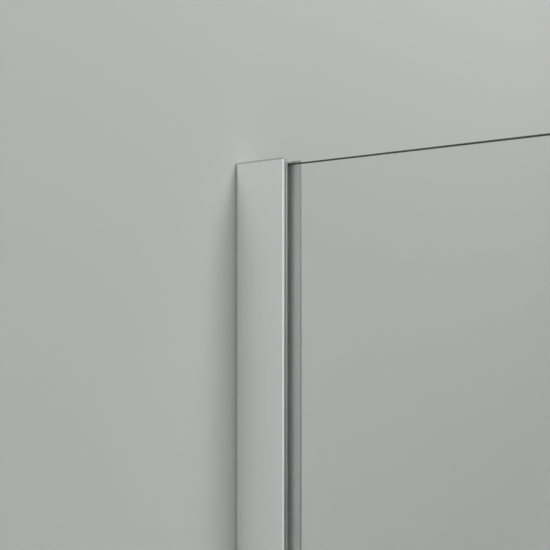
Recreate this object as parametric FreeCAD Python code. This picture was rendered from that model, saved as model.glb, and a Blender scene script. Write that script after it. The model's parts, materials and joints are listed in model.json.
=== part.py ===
import FreeCAD
import Part
import os

# Hinged shower door beside a fixed glass panel, for a recess between two walls.
# The origin is on the floor, midway between the walls and in the middle of the glass.
# +X runs from the fixed panel's wall to the hinge wall, +Y into the shower, +Z up.
# All sizes are in millimetres.

Vec = FreeCAD.Vector

# The recess
recess_width = 1000.0
overall_height = 2000.0

# Wall profile: an open channel on each wall
profile_depth = 42.0
profile_width = 22.0
profile_wall = 1.6
profile_base = 2.0
profile_corner = 1.0
profile_heel = 2.2
wall_hole_diameter = 6.0
wall_hole_end = 130.0
wall_hole_count = 4

# Glass profile: slides in the wall profile and takes the pane
slide_clearance = 0.8
inner_recess = 0.2
inner_below_cap = 1.2
inner_wall = 1.2
inner_web = 1.6
inner_leg = 8.0
pocket_depth = 19.9
mouth_depth = 8.0
mouth_gap = 3.8

# Glass
glass_thickness = 6.0
glass_arris = 0.6
glass_below_top = 3.0
glass_end_gap = 1.4

# Gaskets in the glass profile
gasket_depth = 10.0
gasket_back = 1.4
gasket_teeth = 2
gasket_clearance = 0.1
gasket_flange = 1.0
gasket_head_round = 3.2
gasket_flange_round = 0.5

# Top cap
cap_thickness = 1.0
cap_plug_depth = 8.0
cap_plug_wall = 1.5
cap_plug_clearance = 0.15

# Lock screws and their covers
screw_diameter = 4.0
screw_clearance = 0.05
screw_head_diameter = 7.0
screw_head_height = 1.8
screw_grip = 6.0
socket_size = 2.5
socket_depth = 1.1
lock_screw_count = 3
lock_screw_end = 220.0
cover_diameter = 9.4
cover_height = 3.0
cover_wall = 0.8
cover_margin = 0.3

# Floor channel under the fixed panel
channel_width = 15.0
channel_height = 16.0
channel_wall = 1.5
block_height = 4.5
block_length = 60.0
block_inset = 70.0
channel_gasket_height = 8.0
channel_gasket_below = 1.0

# Fixed panel and the closing edge
fixed_reach = 390.0
closing_gap = 22.0
magnet_clearance = 0.5

# Threshold under the door
threshold_width = 32.0
threshold_height = 8.0
threshold_crown = 9.0
threshold_toe = 1.5

# Clip-on seals
seal_wall = 1.2
seal_grip = 11.0
seal_clearance = 0.6
nose_width = 10.0
magnet_inset = 1.0
fin_thickness = 1.0
drip_gap = 8.0
drip_run = 6.0
drip_fall = 4.0
infill_wall = 1.5

# Hinge
axis_to_mouth = 10.0
glass_past_axis = 3.0
hinge_from_end = 250.0
knuckle_diameter = 16.0
knuckle_height = 22.0
knuckle_chamfer = 0.8
pin_diameter = 8.0
pin_clearance = 0.05
pin_floor = 3.0
pin_engagement = 15.0
bush_wall = 1.6
bush_clearance = 0.02
cam_lobes = 3
cam_rise = 8.0
cam_base = 3.0
cam_gap = 0.3
cam_lead_clearance = 3.0
cam_bore_clearance = 0.2
cam_key_width = 4.0
cam_key_height = 2.0
cam_key_clearance = 0.05
opening_angle = 90.0
bracket_height = 84.0
bracket_clearance = 0.2
bracket_arm = 10.0
bracket_screw_spacing = 56.0
leaf_width = 48.0
leaf_height = 68.0
leaf_thickness = 5.0
leaf_corner = 5.0
leaf_edge = 1.0
leaf_from_axis = 12.0
pad_thickness = 1.0
notch_clearance = 2.0
notch_corner = 5.0
clamp_screw_diameter = 6.0
clamp_head_diameter = 10.0
clamp_head_height = 3.0
clamp_head_clearance = 0.2
clamp_spacing = 36.0
clamp_thread = 3.6
clamp_hole_diameter = 12.0

# Handle: a bow on each side of the door, bolted through
handle_inset = 48.0
handle_height = 1050.0
handle_spacing = 200.0
grip_bar = 12.0
grip_reach = 28.0
grip_edge = 2.0
stud_diameter = 6.0
stud_depth = 12.0
stud_hole_diameter = 8.0
washer_thickness = 1.0
washer_margin = 0.3

# Places that several pieces share
half_width = recess_width / 2
half_profile = profile_width / 2
half_glass = glass_thickness / 2
profile_top = overall_height - cap_thickness
inner_top = profile_top - inner_below_cap
glass_top = overall_height - glass_below_top
inner_mouth = profile_depth - inner_recess
web_front = inner_mouth - pocket_depth
web_back = web_front - inner_web
inner_back = web_back - inner_leg
inner_half = half_profile - profile_wall - slide_clearance
pocket_half = inner_half - inner_wall
mouth_half = half_glass + mouth_gap
mouth_back = inner_mouth - mouth_depth
gasket_pitch = gasket_depth / gasket_teeth
rear_lip_end = inner_mouth - gasket_flange
mouth_x = half_width - profile_depth
fixed_edge = -half_width + fixed_reach
fixed_bottom = channel_wall + block_height
door_edge = fixed_edge + closing_gap
axis_x = mouth_x - axis_to_mouth
door_hinge_edge = axis_x + glass_past_axis
door_bottom = threshold_height + drip_gap
knuckle_radius = knuckle_diameter / 2
pin_radius = pin_diameter / 2
cam_lift = cam_rise * cam_lobes / 360 * opening_angle
hinge_heights = {"lower": door_bottom + hinge_from_end, "upper": glass_top - hinge_from_end}

# Heights in one hinge, from its middle
cam_slope = cam_rise * cam_lobes / 360
cam_offset = cam_gap + cam_slope * cam_lead_clearance
lift_cam_top = cam_rise / 2 + cam_offset + cam_base
fixed_cam_bottom = -cam_rise / 2 - cam_base
bracket_bottom = fixed_cam_bottom - knuckle_height
leaf_knuckle_top = lift_cam_top + knuckle_height
notch_top = leaf_knuckle_top + notch_clearance
notch_bottom = bracket_bottom - cam_lift - notch_clearance
notch_side = knuckle_radius + notch_clearance


def prism_z(points, bottom, top):
    """An extrusion along Z of an outline given in X and Y."""
    ring = [Vec(x, y, bottom) for x, y in points]
    return Part.Face(Part.makePolygon(ring + ring[:1])).extrude(Vec(0, 0, top - bottom))


def prism_x(points, start, end):
    """An extrusion along X of an outline given in Y and Z."""
    ring = [Vec(start, y, z) for y, z in points]
    return Part.Face(Part.makePolygon(ring + ring[:1])).extrude(Vec(end - start, 0, 0))


def prism_y(points, start, end):
    """An extrusion along Y of an outline given in X and Z."""
    ring = [Vec(x, start, z) for x, z in points]
    return Part.Face(Part.makePolygon(ring + ring[:1])).extrude(Vec(0, end - start, 0))


def rectangle(low, high):
    """The outline of a rectangle between two opposite corners."""
    return [low, (high[0], low[1]), high, (low[0], high[1])]


def box(low, high):
    """A block between two opposite corners."""
    return Part.makeBox(*[b - a for a, b in zip(low, high)], Vec(*low))


def rod_y(x, z, radius, start, end):
    """A round bar along Y."""
    return Part.makeCylinder(radius, end - start, Vec(x, start, z), Vec(0, 1, 0))


def tube_z(x, outer, inner, bottom, top):
    """A tube along Z on the line x, y = 0."""
    bar = Part.makeCylinder(outer, top - bottom, Vec(x, 0, bottom))
    return bar.cut(Part.makeCylinder(inner, top - bottom, Vec(x, 0, bottom)))


def evenly(first, last, count):
    """Places from first to last with equal steps."""
    return [first + (last - first) * i / (count - 1) for i in range(count)]


def fillet_where(shape, radius, chosen):
    """Rounds the edges whose middle and direction are chosen."""
    edges = []
    for edge in shape.Edges:
        ends = [v.Point for v in edge.Vertexes]
        if len(ends) == 2 and chosen(edge.CenterOfMass, (ends[1] - ends[0]).normalize()):
            edges.append(edge)
    return shape.makeFillet(radius, edges)


def close(a, b):
    """Whether two lengths are the same place."""
    return abs(a - b) < 1e-4


def one(shape):
    """The single solid that an operation left in its wrapper."""
    return shape.removeSplitter().Solids[0]


def on_wall(points, side):
    """Puts an outline, measured out from a wall, on the left (-1) or right (1) wall."""
    return [(side * (half_width - depth), across) for depth, across in points]


def mirrored(points):
    """The other half of an outline that is symmetric across the glass."""
    return [(along, -across) for along, across in reversed(points)]


def mirrored_y(points):
    """The other half of an outline in Y and Z."""
    return [(-y, z) for y, z in reversed(points)]


# Profiles on the two walls

def wall_profile(side):
    """The outer channel, with its wall screw holes."""
    lip = half_profile - profile_wall
    half = [(0, half_profile), (profile_depth, half_profile), (profile_depth, lip), (profile_base, lip)]
    shape = rounded_outside(prism_z(on_wall(half + mirrored(half), side), 0, profile_top))
    for height in evenly(wall_hole_end, overall_height - wall_hole_end, wall_hole_count):
        wall_point = Vec(side * half_width, 0, height)
        hole = Part.makeCylinder(wall_hole_diameter / 2, profile_base, wall_point, Vec(-side, 0, 0))
        shape = shape.cut(hole)
    return shape


def rounded_outside(shape):
    """Rounds the upright outer edges of a profile or its cap, at the mouth and at the wall."""
    for depth, radius in ((mouth_x, profile_corner), (half_width, profile_heel)):
        shape = fillet_where(
            shape, radius,
            lambda middle, along: close(abs(middle.x), depth) and close(abs(middle.y), half_profile)
            and close(abs(along.z), 1))
    return shape


def glass_profile(side, rear_lip):
    """The inner extrusion: legs behind a web, and a pocket with thicker walls at its mouth.

    The rear lip ends at its own depth, to leave room for the gasket's flange.
    """
    def pocket(lip):
        return [(inner_back, inner_half), (lip, inner_half), (lip, mouth_half),
                (mouth_back, mouth_half), (mouth_back, pocket_half), (web_front, pocket_half)]

    legs = [(web_back, pocket_half), (inner_back, pocket_half)]
    section = pocket(rear_lip) + mirrored(pocket(inner_mouth)) + mirrored(legs) + legs
    return prism_z(on_wall(section, side), 0, inner_top)


def pane_gasket(face):
    """A toothed rubber strip between the pocket wall and the front (-1) or rear (1) of the pane."""
    strip = pocket_half - gasket_back
    section = [(mouth_back - gasket_depth, pocket_half), (mouth_back, pocket_half)]
    for i in range(gasket_teeth):
        root = mouth_back - i * gasket_pitch
        section += [(root, strip), (root - gasket_pitch / 4, half_glass),
                    (root - gasket_pitch / 2, half_glass)]
    section.append((mouth_back - gasket_depth, strip))
    outline = [(depth, face * across) for depth, across in section]
    return prism_z(on_wall(outline, -1), fixed_bottom, glass_top)


def gasket_head():
    """The front of the rear gasket: a neck from its first tooth, and a flange over the rear lip.

    Its head is round beside the pane. The flange also hides the slit between the two profiles.
    """
    neck_start = mouth_back - gasket_pitch / 2
    beside_glass = half_glass + gasket_clearance
    flange_end = half_profile - profile_wall - gasket_clearance
    outline = [
        (neck_start, beside_glass), (inner_mouth, beside_glass), (inner_mouth, flange_end),
        (rear_lip_end, flange_end), (rear_lip_end, mouth_half), (neck_start, mouth_half),
    ]
    head = prism_z(on_wall(outline, -1), fixed_bottom, glass_top)
    for across, radius in ((beside_glass, gasket_head_round), (flange_end, gasket_flange_round)):
        head = fillet_where(
            head, radius,
            lambda middle, along: close(middle.x, inner_mouth - half_width) and close(middle.y, across)
            and close(abs(along.z), 1))
    return head


def top_cap(side, mouth_open):
    """A thin plate on the cut ends of the profiles, with a plug behind the glass profile.

    On the side that takes the pane, the plate is open over the mouth.
    """
    plate = prism_z(on_wall(rectangle((0, -half_profile), (profile_depth, half_profile)), side),
                    profile_top, overall_height)
    plate = rounded_outside(plate)
    if mouth_open:
        slot = rectangle((mouth_back, -mouth_half), (profile_depth, mouth_half))
        plate = plate.cut(prism_z(on_wall(slot, side), profile_top, overall_height))
    plug_half = half_profile - profile_wall - cap_plug_clearance
    near = profile_base + cap_plug_clearance
    far = inner_back - cap_plug_clearance
    rim = rectangle((near, -plug_half), (far, plug_half))
    hollow = rectangle((near + cap_plug_wall, -plug_half + cap_plug_wall),
                       (far - cap_plug_wall, plug_half - cap_plug_wall))
    plug_bottom = profile_top - cap_plug_depth
    plug = prism_z(on_wall(rim, side), plug_bottom, profile_top)
    plug = plug.cut(prism_z(on_wall(hollow, side), plug_bottom, profile_top))
    return one(plate.fuse(plug))


def socket_screw(x, z, radius, head_radius, head_height, seat, tip):
    """A socket screw along -Y: its head stands on the seat and its shank ends at the tip."""
    screw = rod_y(x, z, head_radius, seat, seat + head_height).fuse(rod_y(x, z, radius, tip, seat))
    corners = [Vec(socket_size, 0, 0)]
    for i in range(1, 6):
        corners.append(FreeCAD.Rotation(Vec(0, 0, 1), 60 * i).multVec(corners[0]))
    ring = [(x + c.x, z + c.y) for c in corners]
    return one(screw.cut(prism_y(ring, seat + head_height - socket_depth, seat + head_height)))


def profile_screw(x, z, tip):
    """A small screw with its head on the rear of a wall profile."""
    return socket_screw(x, z, screw_diameter / 2, screw_head_diameter / 2, screw_head_height,
                        half_profile, tip)


def screw_cover(x, z):
    """A snap cover over a screw head on the rear of a wall profile."""
    outer = cover_diameter / 2
    inner = outer - cover_wall
    top = half_profile + cover_height
    shell = rod_y(x, z, outer, half_profile, top)
    rim = [e for e in shell.Edges if close(e.CenterOfMass.y, top) and len(e.Vertexes) == 1]
    shell = shell.makeFillet(cover_wall, rim)
    return shell.cut(rod_y(x, z, inner, half_profile, top - cover_wall))


def drilled_rear(shape, places, radius):
    """Drills a rear cheek at the given x and z."""
    for x, z in places:
        shape = shape.cut(rod_y(x, z, radius, 0, half_profile))
    return shape


def infill_strips():
    """Snap-in strips that close the mouth of the hinge side profile above, between and below the hinges."""
    half = [
        (inner_mouth, mouth_half), (mouth_back, mouth_half), (mouth_back, mouth_half - infill_wall),
        (inner_mouth - infill_wall, mouth_half - infill_wall),
    ]
    section = half + mirrored(half)
    stops = [0]
    for middle in hinge_heights.values():
        stops += [middle - bracket_height / 2, middle + bracket_height / 2]
    stops.append(inner_top)
    strips = [prism_z(on_wall(section, 1), a, b) for a, b in zip(stops[::2], stops[1::2])]
    return Part.makeCompound(strips)


# Fixed panel and floor pieces

def arris(shape, edges):
    """Grinds the sharp edges of a pane."""
    return shape.makeChamfer(glass_arris, edges)


def fixed_pane():
    """The fixed glass, from inside the left profile to the closing edge."""
    pane_start = -half_width + web_front + glass_end_gap
    pane = box((pane_start, -half_glass, fixed_bottom), (fixed_edge, half_glass, glass_top))
    return arris(pane, pane.Edges)


def floor_channel():
    """A channel on the floor that takes the foot of the fixed pane."""
    outer = channel_width / 2
    inner = outer - channel_wall
    half = [(outer, 0), (outer, channel_height), (inner, channel_height), (inner, channel_wall)]
    return prism_x(half + mirrored_y(half), -mouth_x, fixed_edge)


def channel_gasket(face):
    """A rubber strip between the floor channel and the front (-1) or rear (1) of the pane."""
    top = channel_height - channel_gasket_below
    strip = rectangle((half_glass, top - channel_gasket_height), (channel_width / 2 - channel_wall, top))
    return prism_x([(face * y, z) for y, z in strip], -mouth_x, fixed_edge)


def setting_blocks():
    """Two blocks that carry the fixed pane in the floor channel."""
    blocks = []
    for middle in (-mouth_x + block_inset, fixed_edge - block_inset):
        low = (middle - block_length / 2, -half_glass, channel_wall)
        blocks.append(box(low, (middle + block_length / 2, half_glass, fixed_bottom)))
    return Part.makeCompound(blocks)


def threshold():
    """A low rail under the door, sloped on both sides."""
    half = [(threshold_width / 2, 0), (threshold_width / 2, threshold_toe),
            (threshold_crown / 2, threshold_height)]
    return prism_x(half + mirrored_y(half), fixed_edge, mouth_x)


# Seals

def magnet_seal(edge, to_seam, bottom):
    """A clip-on seal with a hollow nose, on a pane's edge that faces the seam."""
    nose_end = closing_gap / 2 - magnet_clearance / 2
    leg = half_glass + seal_wall
    half = [
        (-seal_grip, half_glass), (-seal_grip, leg), (0, leg), (seal_wall, nose_width / 2),
        (nose_end, nose_width / 2),
    ]
    outline = half + mirrored(half) + [(0, -half_glass), (0, half_glass)]
    hollow = rectangle((seal_wall * 2, -nose_width / 2 + magnet_inset),
                       (nose_end - magnet_inset, nose_width / 2 - magnet_inset))
    seal = prism_z([(edge + to_seam * d, a) for d, a in outline], bottom, glass_top)
    return seal.cut(prism_z([(edge + to_seam * d, a) for d, a in hollow], bottom, glass_top))


def magnet_strip(edge, to_seam, bottom):
    """The magnet in the nose of a seal."""
    nose_end = closing_gap / 2 - magnet_clearance / 2
    bar = rectangle((nose_end / 2, -nose_width / 2 + magnet_inset),
                    (nose_end - magnet_inset, nose_width / 2 - magnet_inset))
    return prism_z([(edge + to_seam * d, a) for d, a in bar], bottom, glass_top)


def hinge_seal():
    """A clip-on seal with a fin, on the hinge edge of the door above, between and below the hinges."""
    leg = half_glass + seal_wall
    half = [(-seal_grip, half_glass), (-seal_grip, leg), (seal_wall, leg), (seal_wall, fin_thickness / 2),
            (axis_to_mouth - glass_past_axis - seal_clearance, fin_thickness / 2)]
    outline = half + mirrored(half) + [(0, -half_glass), (0, half_glass)]
    stops = [door_bottom + seal_grip + seal_clearance]
    for middle in hinge_heights.values():
        stops += [middle + notch_bottom - seal_clearance, middle + notch_top + seal_clearance]
    stops.append(glass_top)
    section = [(door_hinge_edge + d, a) for d, a in outline]
    return Part.makeCompound([prism_z(section, a, b) for a, b in zip(stops[::2], stops[1::2])])


def drip_seal():
    """A clip-on seal under the door, with a wiper over the threshold and a fin that sheds water inward."""
    leg = half_glass + seal_wall
    rise = door_bottom + seal_grip
    under = door_bottom - seal_wall
    wiper = threshold_height + seal_clearance
    outline = [
        (-leg, rise), (-half_glass, rise), (-half_glass, door_bottom), (half_glass, door_bottom),
        (half_glass, rise), (leg, rise), (leg, under), (leg + drip_run, under - drip_fall),
        (leg + drip_run - fin_thickness, under - drip_fall - fin_thickness / 2),
        (leg - fin_thickness, under - fin_thickness / 2), (fin_thickness, under),
        (fin_thickness / 2, wiper), (-fin_thickness / 2, wiper), (-fin_thickness, under), (-leg, under),
    ]
    return prism_x(outline, door_edge, door_hinge_edge)


# Hinges: the knuckles meet on helical cams, so the door climbs as it opens

def at_axis(points):
    """Puts an outline, measured from the hinge axis towards the door, in X."""
    return [(axis_x - run, other) for run, other in points]


def ramp_cutter(level, upward):
    """The space above (1) or below (-1) one lobe of the cam's helical ramp."""
    turn = Part.makeHelix(cam_rise * cam_lobes, cam_rise, knuckle_radius)
    reach = upward * (cam_rise + cam_base) * 2
    inside = pin_radius / 2
    outside = knuckle_radius * 1.5
    ring = [Vec(inside, 0, 0), Vec(outside, 0, 0), Vec(outside, 0, reach), Vec(inside, 0, reach)]
    sweep = Part.BRepOffsetAPI.MakePipeShell(Part.Wire(turn.Edges))
    sweep.setFrenetMode(True)
    sweep.add(Part.makePolygon(ring + ring[:1]), False, False)
    sweep.build()
    sweep.makeSolid()
    cutter = sweep.shape()
    cutter.translate(Vec(axis_x, 0, level))
    return cutter


def ramped(ring, level, upward, lead):
    """Cuts the ramps of all lobes in a ring."""
    for lobe in range(cam_lobes):
        cutter = ramp_cutter(level, upward)
        cutter.rotate(Vec(axis_x, 0, 0), Vec(0, 0, 1), 360 / cam_lobes * lobe + lead)
        ring = ring.cut(cutter)
    return ring


def cam_key(width, bottom, top, inner):
    """Two tabs across a cam's flat face, which stop it turning in its knuckle."""
    bar = box((axis_x - knuckle_radius, -width / 2, bottom), (axis_x + knuckle_radius, width / 2, top))
    return bar.common(tube_z(axis_x, knuckle_radius, inner, bottom, top))


def fixed_cam():
    """The lower cam, keyed in the bracket's knuckle."""
    bore = pin_radius + cam_bore_clearance
    ring = tube_z(axis_x, knuckle_radius, bore, fixed_cam_bottom, cam_rise / 2)
    ring = ramped(ring, -cam_rise / 2, 1, 0)
    return one(ring.fuse(cam_key(cam_key_width, fixed_cam_bottom - cam_key_height, fixed_cam_bottom, bore)))


def lift_cam():
    """The upper cam, keyed in the leaf's knuckle. It follows the lower cam's ramps."""
    bottom = -cam_rise / 2 + cam_offset
    ring = tube_z(axis_x, knuckle_radius, pin_radius + cam_bore_clearance, bottom, lift_cam_top)
    ring = ramped(ring, bottom, -1, cam_lead_clearance)
    tabs = cam_key(cam_key_width, lift_cam_top, lift_cam_top + cam_key_height,
                   bush_outer + bush_clearance * 2)
    return one(ring.fuse(tabs))


def barrel(bottom, outer_end):
    """The round bar of a knuckle, with its outer end broken."""
    bar = Part.makeCylinder(knuckle_radius, knuckle_height, Vec(axis_x, 0, bottom))
    rim = [e for e in bar.Edges if len(e.Vertexes) == 1 and close(e.CenterOfMass.z, outer_end)]
    return bar.makeChamfer(knuckle_chamfer, rim)


def bracket():
    """The fixed half: a tongue in the profile's mouth, an arm, and a knuckle with a blind bore."""
    tongue = prism_z(
        on_wall(rectangle((web_front + bracket_clearance, -mouth_half + bracket_clearance * 2),
                          (inner_mouth, mouth_half)), 1),
        -bracket_height / 2, bracket_height / 2)
    arm = box((axis_x, -bracket_arm / 2, bracket_bottom),
              (half_width - inner_mouth, bracket_arm / 2, fixed_cam_bottom))
    knuckle = barrel(bracket_bottom, bracket_bottom)
    shape = one(tongue.fuse([arm, knuckle]))
    bore_bottom = bracket_bottom + pin_floor
    shape = shape.cut(Part.makeCylinder(pin_radius + pin_clearance, fixed_cam_bottom - bore_bottom,
                                        Vec(axis_x, 0, bore_bottom)))
    slot = cam_key(cam_key_width + cam_key_clearance * 2, fixed_cam_bottom - cam_key_height,
                   fixed_cam_bottom, pin_radius)
    shape = shape.cut(slot)
    for x, z in bracket_screw_places(0):
        shape = shape.cut(rod_y(x, z, screw_diameter / 2 + screw_clearance, 0, mouth_half))
    return shape


def bracket_screw_places(middle):
    """Where the screws of one bracket go in, seen from the rear."""
    x = mouth_x + profile_corner + cover_margin + cover_diameter / 2
    return [(x, middle - bracket_screw_spacing / 2), (x, middle + bracket_screw_spacing / 2)]


def hinge_pin():
    """A plain pin that stands in the bracket's bore."""
    bottom = bracket_bottom + pin_floor
    pin = Part.makeCylinder(pin_radius, lift_cam_top + pin_engagement - bottom, Vec(axis_x, 0, bottom))
    ends = [e for e in pin.Edges if len(e.Vertexes) == 1]
    return pin.makeChamfer(pin_radius / 8, ends)


def hinge_bush():
    """The sleeve in the leaf's knuckle, which turns and slides on the pin."""
    return tube_z(axis_x, bush_outer, pin_radius + pin_clearance, lift_cam_top, leaf_knuckle_top - pin_floor)


def clamp_places(middle):
    """Where the clamp screws of one hinge go through the door."""
    x = axis_x - leaf_from_axis - leaf_width / 2
    return [(x, middle - clamp_spacing / 2), (x, middle + clamp_spacing / 2)]


def clamp_plate(near, far):
    """A plate with round corners beside the door glass."""
    outline = rectangle((leaf_from_axis, -leaf_height / 2), (leaf_from_axis + leaf_width, leaf_height / 2))
    plate = prism_y(at_axis(outline), near, far)
    return fillet_where(plate, leaf_corner, lambda middle, along: close(abs(along.y), 1))


def soft_face(plate, level):
    """Rounds the outline of a plate's outer face."""
    edges = [e for e in plate.Edges if all(close(v.Y, level) for v in e.Vertexes)]
    return plate.makeFillet(leaf_edge, edges)


def hinge_leaf():
    """The moving half: a front plate, an arm through the notch, and a knuckle with a blind bore."""
    inside = -half_glass - pad_thickness
    outside = inside - leaf_thickness
    plate = soft_face(clamp_plate(outside, inside), outside)
    arm_end = leaf_from_axis + leaf_edge
    arm_inside = notch_side - notch_clearance / 2
    arm = prism_z(
        at_axis([(0, -knuckle_radius), (leaf_from_axis, outside + leaf_edge),
                 (arm_end + leaf_edge, inside - leaf_edge), (arm_end, inside), (arm_inside, inside),
                 (arm_inside, half_glass), (0, knuckle_radius)]),
        lift_cam_top, leaf_knuckle_top)
    knuckle = barrel(lift_cam_top, leaf_knuckle_top)
    shape = one(plate.fuse([arm, knuckle]))
    bore = Part.makeCylinder(bush_outer + bush_clearance, knuckle_height - pin_floor,
                             Vec(axis_x, 0, lift_cam_top))
    slot = cam_key(cam_key_width + cam_key_clearance * 2, lift_cam_top, lift_cam_top + cam_key_height,
                   bush_outer)
    shape = shape.cut([bore, slot])
    for x, z in clamp_places(0):
        shape = shape.cut(rod_y(x, z, clamp_screw_diameter / 2 + screw_clearance, clamp_tip, inside))
    return shape


def back_plate():
    """The plate inside the shower, with a counterbore for each clamp screw."""
    inside = half_glass + pad_thickness
    plate = soft_face(clamp_plate(inside, clamp_face), clamp_face)
    for x, z in clamp_places(0):
        head = rod_y(x, z, clamp_head_diameter / 2 + clamp_head_clearance, clamp_seat, clamp_face)
        shank = rod_y(x, z, clamp_screw_diameter / 2 + screw_clearance, inside, clamp_seat)
        plate = plate.cut([head, shank])
    return plate


def pad(face):
    """A soft pad between the glass and the front (-1) or rear (1) plate."""
    near, far = sorted((face * half_glass, face * (half_glass + pad_thickness)))
    shape = clamp_plate(near, far)
    for x, z in clamp_places(0):
        shape = shape.cut(rod_y(x, z, clamp_hole_diameter / 2, near, far))
    return shape


# Door glass and handle

def door_pane():
    """The door glass, with a notch for each hinge and holes for the clamps and the handle."""
    outline = [(door_edge, door_bottom), (door_hinge_edge, door_bottom)]
    for middle in hinge_heights.values():
        for x, level in ((door_hinge_edge, notch_bottom), (axis_x - notch_side, notch_bottom),
                         (axis_x - notch_side, notch_top), (door_hinge_edge, notch_top)):
            outline.append((x, middle + level))
    outline += [(door_hinge_edge, glass_top), (door_edge, glass_top)]
    pane = prism_y(outline, -half_glass, half_glass)
    pane = fillet_where(
        pane, notch_corner,
        lambda middle, along: close(abs(along.y), 1) and close(middle.x, axis_x - notch_side))
    faces = [e for e in pane.Edges if all(close(abs(v.Y), half_glass) for v in e.Vertexes)]
    pane = arris(pane, [e for e in faces if not close(e.Length, glass_thickness)])
    for middle in hinge_heights.values():
        for x, z in clamp_places(middle):
            pane = pane.cut(rod_y(x, z, clamp_hole_diameter / 2, -half_glass, half_glass))
    for z in handle_holes:
        pane = pane.cut(rod_y(handle_x, z, stud_hole_diameter / 2, -half_glass, half_glass))
    return pane


def grip(face):
    """A bow handle on the front (-1) or rear (1) of the door, with blind holes for the studs."""
    foot = half_glass + washer_thickness
    top = foot + grip_reach + grip_bar
    end = handle_spacing / 2 + grip_bar / 2
    gap = handle_spacing / 2 - grip_bar / 2
    bow = [(foot, -end), (top, -end), (top, end), (foot, end), (foot, gap), (foot + grip_reach, gap),
           (foot + grip_reach, -gap), (foot, -gap)]
    outline = [(face * y, handle_height + z) for y, z in bow]
    shape = prism_x(outline, handle_x - grip_bar / 2, handle_x + grip_bar / 2)
    shape = fillet_where(shape, grip_edge, lambda middle, along: abs(middle.y) > foot + 1e-4)
    for z in handle_holes:
        start, stop = sorted((face * foot, face * (foot + stud_depth)))
        shape = shape.cut(rod_y(handle_x, z, stud_diameter / 2 + screw_clearance, start, stop))
    return shape


def handle_studs():
    """Threaded studs through the glass, one at each end of the handle."""
    reach = half_glass + washer_thickness + stud_depth
    return Part.makeCompound([rod_y(handle_x, z, stud_diameter / 2, -reach, reach) for z in handle_holes])


def handle_washers():
    """A soft washer under each foot of both grips."""
    washers = []
    for z in handle_holes:
        for face in (-1, 1):
            near, far = sorted((face * half_glass, face * (half_glass + washer_thickness)))
            washer = rod_y(handle_x, z, grip_bar / 2 - washer_margin, near, far)
            washers.append(washer.cut(rod_y(handle_x, z, stud_diameter / 2 + screw_clearance, near, far)))
    return Part.makeCompound(washers)


# Places that the hinges and the handle use
bush_outer = pin_radius + pin_clearance + bush_wall
clamp_face = half_glass + pad_thickness + leaf_thickness
clamp_seat = clamp_face - clamp_head_height
clamp_tip = -half_glass - pad_thickness - clamp_thread
handle_x = door_edge + handle_inset
handle_holes = [handle_height - handle_spacing / 2, handle_height + handle_spacing / 2]

parts = {}

for name, side in (("left", -1), ("right", 1)):
    lock_x = side * (half_width - inner_back - inner_leg / 2)
    locks = [(lock_x, z) for z in evenly(lock_screw_end, overall_height - lock_screw_end, lock_screw_count)]
    holes = list(locks)
    if side == 1:
        for middle in hinge_heights.values():
            holes += bracket_screw_places(middle)
    hole_radius = screw_diameter / 2 + screw_clearance
    parts[name + "_wall_profile"] = drilled_rear(wall_profile(side), holes, hole_radius)
    rear_lip = rear_lip_end if side == -1 else inner_mouth
    parts[name + "_glass_profile"] = drilled_rear(glass_profile(side, rear_lip), holes, hole_radius)
    parts[name + "_top_cap"] = top_cap(side, mouth_open=side == -1)
    tip = half_profile - screw_grip
    parts[name + "_lock_screws"] = Part.makeCompound([profile_screw(x, z, tip) for x, z in locks])
    parts[name + "_screw_covers"] = Part.makeCompound([screw_cover(x, z) for x, z in holes])

parts["left_front_gasket"] = pane_gasket(-1)
parts["left_rear_gasket"] = one(pane_gasket(1).fuse(gasket_head()))
parts["fixed_glass"] = fixed_pane()
parts["floor_channel"] = floor_channel()
parts["floor_front_gasket"] = channel_gasket(-1)
parts["floor_rear_gasket"] = channel_gasket(1)
parts["setting_blocks"] = setting_blocks()
parts["threshold_rail"] = threshold()
fixed_seal_bottom = channel_height + seal_clearance
parts["fixed_magnet_seal"] = magnet_seal(fixed_edge, 1, fixed_seal_bottom)
parts["fixed_magnet_strip"] = magnet_strip(fixed_edge, 1, fixed_seal_bottom)
parts["infill_strips"] = infill_strips()

bracket_screws = []
clamp_screws = []
for name, middle in hinge_heights.items():
    pieces = {
        "hinge_bracket": bracket(), "fixed_cam": fixed_cam(), "hinge_pin": hinge_pin(),
        "lift_cam": lift_cam(), "hinge_bush": hinge_bush(), "hinge_leaf": hinge_leaf(),
        "back_plate": back_plate(), "front_pad": pad(-1), "rear_pad": pad(1),
    }
    for piece, shape in pieces.items():
        shape.translate(Vec(0, 0, middle))
        parts[name + "_" + piece] = shape
    bracket_screws += [profile_screw(x, z, 0) for x, z in bracket_screw_places(middle)]
    for x, z in clamp_places(middle):
        clamp_screws.append(
            socket_screw(x, z, clamp_screw_diameter / 2, clamp_head_diameter / 2, clamp_head_height,
                         clamp_seat, clamp_tip))
parts["hinge_bracket_screws"] = Part.makeCompound(bracket_screws)
parts["hinge_clamp_screws"] = Part.makeCompound(clamp_screws)

parts["door_glass"] = door_pane()
door_seal_bottom = door_bottom + seal_grip + seal_clearance
parts["door_magnet_seal"] = magnet_seal(door_edge, -1, door_seal_bottom)
parts["door_magnet_strip"] = magnet_strip(door_edge, -1, door_seal_bottom)
parts["door_hinge_seal"] = hinge_seal()
parts["door_drip_seal"] = drip_seal()
parts["outer_grip"] = grip(-1)
parts["inner_grip"] = grip(1)
parts["handle_studs"] = handle_studs()
parts["handle_washers"] = handle_washers()

os.makedirs("parts", exist_ok=True)
for name, shape in parts.items():
    shape.exportStep(os.path.join("parts", name + ".step"))
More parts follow.
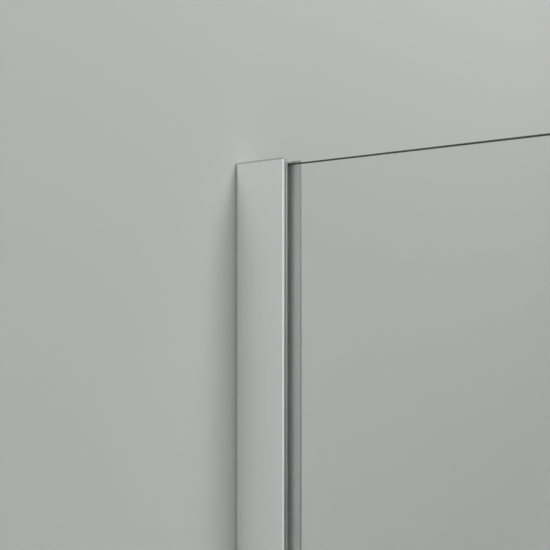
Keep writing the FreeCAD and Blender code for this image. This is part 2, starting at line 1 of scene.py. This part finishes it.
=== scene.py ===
import json
import math
import bpy
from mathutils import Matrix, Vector


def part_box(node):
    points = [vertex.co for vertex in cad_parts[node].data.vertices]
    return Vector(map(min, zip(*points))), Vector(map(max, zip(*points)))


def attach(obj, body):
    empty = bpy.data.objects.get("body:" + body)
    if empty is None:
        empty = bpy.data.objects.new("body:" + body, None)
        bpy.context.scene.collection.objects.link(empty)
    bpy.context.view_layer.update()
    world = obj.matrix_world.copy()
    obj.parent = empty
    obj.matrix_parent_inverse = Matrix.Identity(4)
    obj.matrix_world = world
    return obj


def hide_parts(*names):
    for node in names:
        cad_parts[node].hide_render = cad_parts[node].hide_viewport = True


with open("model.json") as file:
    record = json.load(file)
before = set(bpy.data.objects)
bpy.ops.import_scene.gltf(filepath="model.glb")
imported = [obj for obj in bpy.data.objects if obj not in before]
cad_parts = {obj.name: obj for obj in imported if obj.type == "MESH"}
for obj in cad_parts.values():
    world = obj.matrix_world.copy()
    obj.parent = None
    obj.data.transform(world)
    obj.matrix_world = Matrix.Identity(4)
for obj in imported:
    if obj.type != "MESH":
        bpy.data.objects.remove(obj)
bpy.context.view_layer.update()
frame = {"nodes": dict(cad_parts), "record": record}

nodes = frame["nodes"]
record = frame["record"]
slot_of = {part["node"]: part["material_slot"] for part in record["subparts"]}
body_of = {node: body for body, group in record["behaviour"]["bodies"].items() for node in group}


# Shader helpers

def new_material(name):
    """A material with its node tree, its shader and its object coordinates."""
    material = bpy.data.materials.new(name)
    material.use_nodes = True
    tree = material.node_tree
    shader = tree.nodes["Principled BSDF"]
    coords = tree.nodes.new("ShaderNodeTexCoord")
    return material, tree, shader, coords


def noise(tree, coords, scale, detail=2.0, roughness=0.5):
    """Noise over the object's own coordinates, with its own scale along each axis (per metre)."""
    mapping = tree.nodes.new("ShaderNodeMapping")
    mapping.inputs["Scale"].default_value = scale
    tree.links.new(coords.outputs["Object"], mapping.inputs["Vector"])
    texture = tree.nodes.new("ShaderNodeTexNoise")
    texture.inputs["Scale"].default_value = 1.0
    texture.inputs["Detail"].default_value = detail
    texture.inputs["Roughness"].default_value = roughness
    tree.links.new(mapping.outputs["Vector"], texture.inputs["Vector"])
    return texture.outputs["Fac"]


def spread(tree, source, low, high, start=0.3, stop=0.7):
    """Spreads a factor's range from start to stop between two values, and holds it there outside."""
    node = tree.nodes.new("ShaderNodeMapRange")
    node.inputs["From Min"].default_value = start
    node.inputs["From Max"].default_value = stop
    node.inputs["To Min"].default_value = low
    node.inputs["To Max"].default_value = high
    tree.links.new(source, node.inputs["Value"])
    return node.outputs["Result"]


def combined(tree, operation, first, second):
    """Two factors combined by a mathematical operation."""
    node = tree.nodes.new("ShaderNodeMath")
    node.operation = operation
    tree.links.new(first, node.inputs[0])
    tree.links.new(second, node.inputs[1])
    return node.outputs["Value"]


def added(tree, first, second):
    """The sum of two factors."""
    return combined(tree, "ADD", first, second)


def product(tree, first, second):
    """The product of two factors."""
    return combined(tree, "MULTIPLY", first, second)


def blend(tree, factor, first, second):
    """Mixes two colours by a factor. A colour is a tuple or a node's output."""
    node = tree.nodes.new("ShaderNodeMix")
    node.data_type = "RGBA"
    tree.links.new(factor, node.inputs["Factor"])
    for socket, colour in (("A", first), ("B", second)):
        if isinstance(colour, tuple):
            node.inputs[socket].default_value = (*colour, 1)
        else:
            tree.links.new(colour, node.inputs[socket])
    return node.outputs["Result"]


def mixed(tree, factor, first, second):
    """Mixes two shaders by a factor and makes the result the material's surface."""
    node = tree.nodes.new("ShaderNodeMixShader")
    tree.links.new(factor, node.inputs["Fac"])
    tree.links.new(first, node.inputs[1])
    tree.links.new(second, node.inputs[2])
    tree.links.new(node.outputs["Shader"], tree.nodes["Material Output"].inputs["Surface"])
    return node.outputs["Shader"]


def relief(tree, shader, height, strength, distance):
    """Adds fine relief to a shader."""
    node = tree.nodes.new("ShaderNodeBump")
    node.inputs["Strength"].default_value = strength
    node.inputs["Distance"].default_value = distance
    tree.links.new(height, node.inputs["Height"])
    tree.links.new(node.outputs["Normal"], shader.inputs["Normal"])


def lamps_pass(tree, shader, colour):
    """Lets lamps shine through a surface, tinted by a colour."""
    passing = tree.nodes.new("ShaderNodeBsdfTransparent")
    tree.links.new(colour, passing.inputs["Color"])
    path = tree.nodes.new("ShaderNodeLightPath")
    mixed(tree, path.outputs["Is Shadow Ray"], shader.outputs["BSDF"], passing.outputs["BSDF"])


def looked_at(tree, path):
    """1 for rays that look at something directly or through glass."""
    return added(tree, path.outputs["Is Camera Ray"], path.outputs["Is Transmission Ray"])


def grey(level):
    """A colour without a cast."""
    return level, level, level


# Materials

fine_relief = 0.0001        # metres


def metal(name, dark, light, rough, streak):
    """A satin metal with fine lines along one direction and faint clouding."""
    line_polish, cloud_polish = 0.03, 0.02
    material, tree, shader, coords = new_material(name)
    lines = noise(tree, coords, streak, detail=3.0, roughness=0.6)
    clouds = noise(tree, coords, (30, 30, 30))
    shader.inputs["Metallic"].default_value = 1.0
    tree.links.new(blend(tree, spread(tree, lines, 0, 1), dark, light), shader.inputs["Base Color"])
    polish = added(tree, spread(tree, lines, rough - line_polish, rough + line_polish),
                   spread(tree, clouds, -cloud_polish, cloud_polish))
    tree.links.new(polish, shader.inputs["Roughness"])
    relief(tree, shader, lines, strength=0.05, distance=fine_relief)
    return material


def plastic(name, dark, light, rough, grain, depth, transmission=0.0):
    """A moulded or extruded plastic or rubber with fine grain."""
    grain_polish = 0.05
    material, tree, shader, coords = new_material(name)
    speckle = noise(tree, coords, grain, detail=3.0)
    tree.links.new(blend(tree, spread(tree, speckle, 0, 1), dark, light), shader.inputs["Base Color"])
    polish = spread(tree, speckle, rough - grain_polish, rough + grain_polish)
    tree.links.new(polish, shader.inputs["Roughness"])
    shader.inputs["IOR"].default_value = 1.46
    shader.inputs["Transmission Weight"].default_value = transmission
    relief(tree, shader, speckle, strength=depth, distance=fine_relief)
    return material


def lamps_pass_clouded(material, scale, dark, light):
    """Lets lamps shine through a plastic, with a cloudy tint."""
    tree = material.node_tree
    clouds = noise(tree, tree.nodes["Texture Coordinate"], scale)
    lamps_pass(tree, tree.nodes["Principled BSDF"], blend(tree, clouds, dark, light))


def clear_glass(mouth_x, top_z):
    """The polished faces of float glass, with a faint draw wave.

    Lamps shine through the pane by a tint painted by place: a painted shade, nearly black, where it stands
    deep in its profile, and a painted light near its top edge, which stands in for light that comes in from
    above there.
    """
    material, tree, shader, coords = new_material("clear_glass")
    shader.inputs["Base Color"].default_value = (0.955, 0.965, 0.958, 1)
    shader.inputs["Transmission Weight"].default_value = 1.0
    shader.inputs["IOR"].default_value = 1.5
    shader.inputs["Roughness"].default_value = 0.0
    relief(tree, shader, noise(tree, coords, (5, 5, 12)), strength=0.05, distance=0.0005)
    place = tree.nodes.new("ShaderNodeSeparateXYZ")
    tree.links.new(coords.outputs["Object"], place.inputs["Vector"])
    # Painted shade and light: the tint for lamps is dark deep in the profile and lighter near the pane's top
    # edge.
    dark_x, lit_x = mouth_x - 0.0058, mouth_x - 0.0022
    faint_z, half_z, lit_z = top_z - 0.060, top_z - 0.020, top_z - 0.005
    outside = spread(tree, place.outputs["X"], 0, 1, dark_x, lit_x)
    painted_top_light = added(tree, spread(tree, place.outputs["Z"], 0, 0.65, half_z, lit_z),
                     spread(tree, place.outputs["Z"], 0, 0.35, faint_z, lit_z))
    lit = added(tree, outside, painted_top_light)
    lamps_pass(tree, shader, blend(tree, lit, (0.02, 0.03, 0.025), (0.93, 0.97, 0.95)))
    return material


def clear_vinyl(name, grain):
    """Clear extruded vinyl, slightly milky, with a faint draw wave. Lamps shine through it."""
    material = plastic(name, (0.88, 0.91, 0.90), (0.92, 0.95, 0.94),
                       rough=0.3, grain=grain, depth=0.01, transmission=0.5)
    lamps_pass_clouded(material, (40, 40, 40), (0.62, 0.66, 0.65), (0.70, 0.74, 0.73))
    return material


def ground_edge():
    """The ground edge of float glass: dark and green, with a matt grain. Lamps shine in through it."""
    grain = (700, 700, 700)
    material = plastic("glass_edge", (0.030, 0.045, 0.040), (0.050, 0.070, 0.062),
                       rough=0.4, grain=grain, depth=0.1)
    lamps_pass_clouded(material, grain, (0.85, 0.90, 0.87), (0.90, 0.95, 0.92))
    return material


# One material for each slot of the record
anodised = (0.91, 0.93, 0.915), (0.95, 0.97, 0.955)
materials = {
    "satin_aluminium": metal("satin_aluminium", *anodised, rough=0.38, streak=(1500, 1500, 4)),
    "clear_glass": clear_glass(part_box("left_wall_profile")[1].x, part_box("fixed_glass")[1].z),
    "satin_steel": metal("satin_steel", (0.60, 0.60, 0.59), (0.70, 0.70, 0.69),
                         rough=0.36, streak=(1500, 1500, 12)),
    "screw_steel": metal("screw_steel", (0.50, 0.50, 0.50), (0.58, 0.58, 0.58),
                         rough=0.3, streak=(600, 600, 600)),
    "grey_rubber": plastic("grey_rubber", (0.34, 0.35, 0.345), (0.38, 0.39, 0.385),
                           rough=0.6, grain=(900, 900, 900), depth=0.1),
    "clear_vinyl": clear_vinyl("clear_vinyl", grain=(60, 60, 3)),
    "grey_plastic": plastic("grey_plastic", (0.60, 0.61, 0.605), (0.66, 0.67, 0.665),
                            rough=0.45, grain=(1200, 1200, 1200), depth=0.05),
    "white_acetal": plastic("white_acetal", (0.82, 0.82, 0.79), (0.88, 0.88, 0.85),
                            rough=0.4, grain=(800, 800, 800), depth=0.05),
    "magnet_strip": plastic("magnet_strip", (0.05, 0.045, 0.045), (0.08, 0.07, 0.07),
                            rough=0.6, grain=(800, 800, 800), depth=0.1),
}
glass_edge = ground_edge()

# Pieces that differ from the rest of their slot: lengthwise lines on level pieces, inner profiles and caps
rail_aluminium = metal("rail_aluminium", *anodised, rough=0.62, streak=(4, 1500, 1500))
level_vinyl = clear_vinyl("level_vinyl", grain=(3, 60, 60))
cap_plastic = plastic("cap_plastic", (0.48, 0.49, 0.485), (0.54, 0.55, 0.545),
                      rough=0.5, grain=(1200, 1200, 1200), depth=0.05)
mill_aluminium = metal("mill_aluminium", (0.82, 0.84, 0.83), (0.88, 0.90, 0.89),
                       rough=0.42, streak=(1200, 1200, 3))
own_material = {
    "left_glass_profile": mill_aluminium,
    "right_glass_profile": mill_aluminium,
    "floor_channel": rail_aluminium,
    "threshold_rail": rail_aluminium,
    "door_drip_seal": level_vinyl,
    "left_top_cap": cap_plastic,
    "right_top_cap": cap_plastic,
}
for name, node in nodes.items():
    node.data.materials.clear()
    node.data.materials.append(own_material.get(name, materials[slot_of[name]]))


# Panes

def pane(node):
    """A pane of glass: polished faces, and ground edges, holes and notches."""
    straight_on = 0.99
    mesh = nodes[node].data.copy()
    piece = bpy.data.objects.new(node + "_pane", mesh)
    bpy.context.scene.collection.objects.link(piece)
    mesh.materials.clear()
    mesh.materials.append(materials["clear_glass"])
    mesh.materials.append(glass_edge)
    for face in mesh.polygons:
        face.material_index = 0 if abs(face.normal.y) > straight_on else 1
    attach(piece, body_of[node])
    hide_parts(node)


pane("fixed_glass")
pane("door_glass")


# Stage: a floor and a wall, which fade into the backdrop away from the object

pale = 0.46                 # level of the backdrop


def plane(name, corners, material):
    """A flat stage surface."""
    mesh = bpy.data.meshes.new(name)
    mesh.from_pydata(corners, [], [range(len(corners))])
    obj = bpy.data.objects.new(name, mesh)
    bpy.context.scene.collection.objects.link(obj)
    mesh.materials.append(material)


def background_seen(tree):
    """1 where the backdrop is looked at: directly, in a reflection or through glass."""
    path = tree.nodes.new("ShaderNodeLightPath")
    return added(tree, looked_at(tree, path), path.outputs["Is Glossy Ray"])


def faded_paint(name, colour, centre, start, stop):
    """Matt paint that fades into the backdrop between two distances from a centre (metres)."""
    material, tree, shader, coords = new_material(name)
    shader.inputs["Base Color"].default_value = (*colour, 1)
    shader.inputs["Roughness"].default_value = 0.9
    shader.inputs["Specular IOR Level"].default_value = 0.2
    away = tree.nodes.new("ShaderNodeVectorMath")
    away.operation = "DISTANCE"
    away.inputs[1].default_value = centre
    tree.links.new(coords.outputs["Object"], away.inputs[0])
    fade = spread(tree, away.outputs["Value"], 0, 1, start, stop)
    glow = tree.nodes.new("ShaderNodeEmission")
    glow.inputs["Color"].default_value = (*grey(pale), 1)
    surface = mixed(tree, product(tree, fade, background_seen(tree)),
                    shader.outputs["BSDF"], glow.outputs["Emission"])
    return material, tree, surface


floor_reach = 2.7
floor_z = -0.0005
floor_paint = faded_paint("floor_paint", (0.78, 0.79, 0.78), (0, 0, 0), start=1.0, stop=2.6)[0]
plane("floor", [(x * floor_reach, y * floor_reach, floor_z)
                for x, y in ((-1, -1), (1, -1), (1, 1), (-1, 1))], floor_paint)

# The wall stands 0.2 mm off the object. It is clear from behind, so that it hides nothing there, and clear to
# rays that have only just left the object's wall face, so that this face isn't black in views from behind.
wall_x = -0.5002
wall_reach = 3
wall_height = 3.2
fade_height = 1.95
touching_start, touching_stop = 0.0004, 0.0005
wall_paint, tree, painted = faded_paint("wall_paint", (0.52, 0.53, 0.515), (wall_x, 0, fade_height),
                                        start=0.55, stop=1.4)
facing = tree.nodes.new("ShaderNodeNewGeometry")
path = tree.nodes.new("ShaderNodeLightPath")
touching = spread(tree, path.outputs["Ray Length"], 1, 0, touching_start, touching_stop)
clear = tree.nodes.new("ShaderNodeBsdfTransparent")
mixed(tree, added(tree, facing.outputs["Backfacing"], touching), painted, clear.outputs["BSDF"])
plane("wall", [(wall_x, -wall_reach, 0), (wall_x, wall_reach, 0),
               (wall_x, wall_reach, wall_height), (wall_x, -wall_reach, wall_height)], wall_paint)


# Lamps

def soft_edges(lamp):
    """Lets a lamp fade towards its edges at the same power, so that glass doesn't mirror a hard outline."""
    rim = 0.35
    lamp.use_nodes = True
    tree = lamp.node_tree
    place = tree.nodes.new("ShaderNodeNewGeometry")
    split = tree.nodes.new("ShaderNodeSeparateXYZ")
    tree.links.new(place.outputs["Parametric"], split.inputs["Vector"])
    across, along = (product(tree, spread(tree, split.outputs[axis], 0, 1 / (1 - rim), 0, rim),
                             spread(tree, split.outputs[axis], 1, 0, 1 - rim, 1)) for axis in "XY")
    tree.links.new(product(tree, across, along), tree.nodes["Emission"].inputs["Strength"])


def area(name, place, target, size, power):
    """A soft lamp (metres and watts), which isn't seen itself, neither directly nor through glass."""
    lamp = bpy.data.lights.new(name, "AREA")
    lamp.shape = "RECTANGLE"
    lamp.size, lamp.size_y = size
    lamp.energy = power
    obj = bpy.data.objects.new(name, lamp)
    bpy.context.scene.collection.objects.link(obj)
    obj.location = place
    obj.rotation_euler = (Vector(target) - Vector(place)).to_track_quat("-Z", "Y").to_euler()
    obj.visible_camera = False
    obj.visible_transmission = False
    return lamp


area("top", (0.6, 0.34, 3.75), target=(-0.46, 0, 1.9), size=(0.9, 1.6), power=44.8)
left = area("left", (-0.05, -2.6, 2.0), target=(-0.05, 0, 2.0), size=(1.35, 4.2), power=13.2)
soft_edges(left)
area("front", (1.6, -2.2, 2.0), target=(-0.46, 0, 2.0), size=(1.8, 2.8), power=1.6)


# World: it lights the scene at one level and is looked at as the pale backdrop. In reflections it darkens
# downwards, and more so at the back than at the front.

sky = 0.318
mirrored_low, mirrored_high = 0.0, 0.43
mirrored_start, mirrored_stop = -0.608, -0.008
up_and_front = (0, -0.4, 1)
world = bpy.data.worlds.new("studio")
bpy.context.scene.world = world
world.use_nodes = True
tree = world.node_tree
direction = tree.nodes.new("ShaderNodeTexCoord")
tilt = tree.nodes.new("ShaderNodeVectorMath")
tilt.operation = "DOT_PRODUCT"
tilt.inputs[1].default_value = up_and_front
tree.links.new(direction.outputs["Generated"], tilt.inputs[0])
rise = spread(tree, tilt.outputs["Value"], 0, 1, mirrored_start, mirrored_stop)
mirrored = blend(tree, rise, grey(mirrored_low), grey(mirrored_high))
path = tree.nodes.new("ShaderNodeLightPath")
plain = blend(tree, looked_at(tree, path), grey(sky), grey(pale))
seen = blend(tree, path.outputs["Glossy Depth"], plain, mirrored)
tree.links.new(seen, tree.nodes["Background"].inputs["Color"])
tree.nodes["Background"].inputs["Strength"].default_value = 1.0

bpy.context.scene.view_settings.view_transform = "Standard"


# Camera: level, close to the top of the left profile, as in the photograph

image_size = 550
focal_pixels = 783.0
turn = math.radians(40.0)
corner_pixel = (283.5, 157.2)
distance = 0.5004

camera = bpy.data.cameras.new("camera")
camera.sensor_width = 36.0
camera.lens = camera.sensor_width * focal_pixels / image_size
camera.clip_start = 0.01
camera_object = bpy.data.objects.new("camera", camera)
bpy.context.scene.collection.objects.link(camera_object)
bpy.context.scene.camera = camera_object
forward = Vector((-math.sin(turn), math.cos(turn), 0))
right = Vector((math.cos(turn), math.sin(turn), 0))
profile_low, profile_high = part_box("left_wall_profile")
corner = Vector((profile_high.x, profile_low.y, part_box("left_top_cap")[1].z))
across = (corner_pixel[0] - image_size / 2) / focal_pixels * distance
down = (image_size / 2 - corner_pixel[1]) / focal_pixels * distance
camera_object.location = corner - forward * distance - right * across - Vector((0, 0, down))
camera_object.rotation_euler = forward.to_track_quat("-Z", "Y").to_euler()
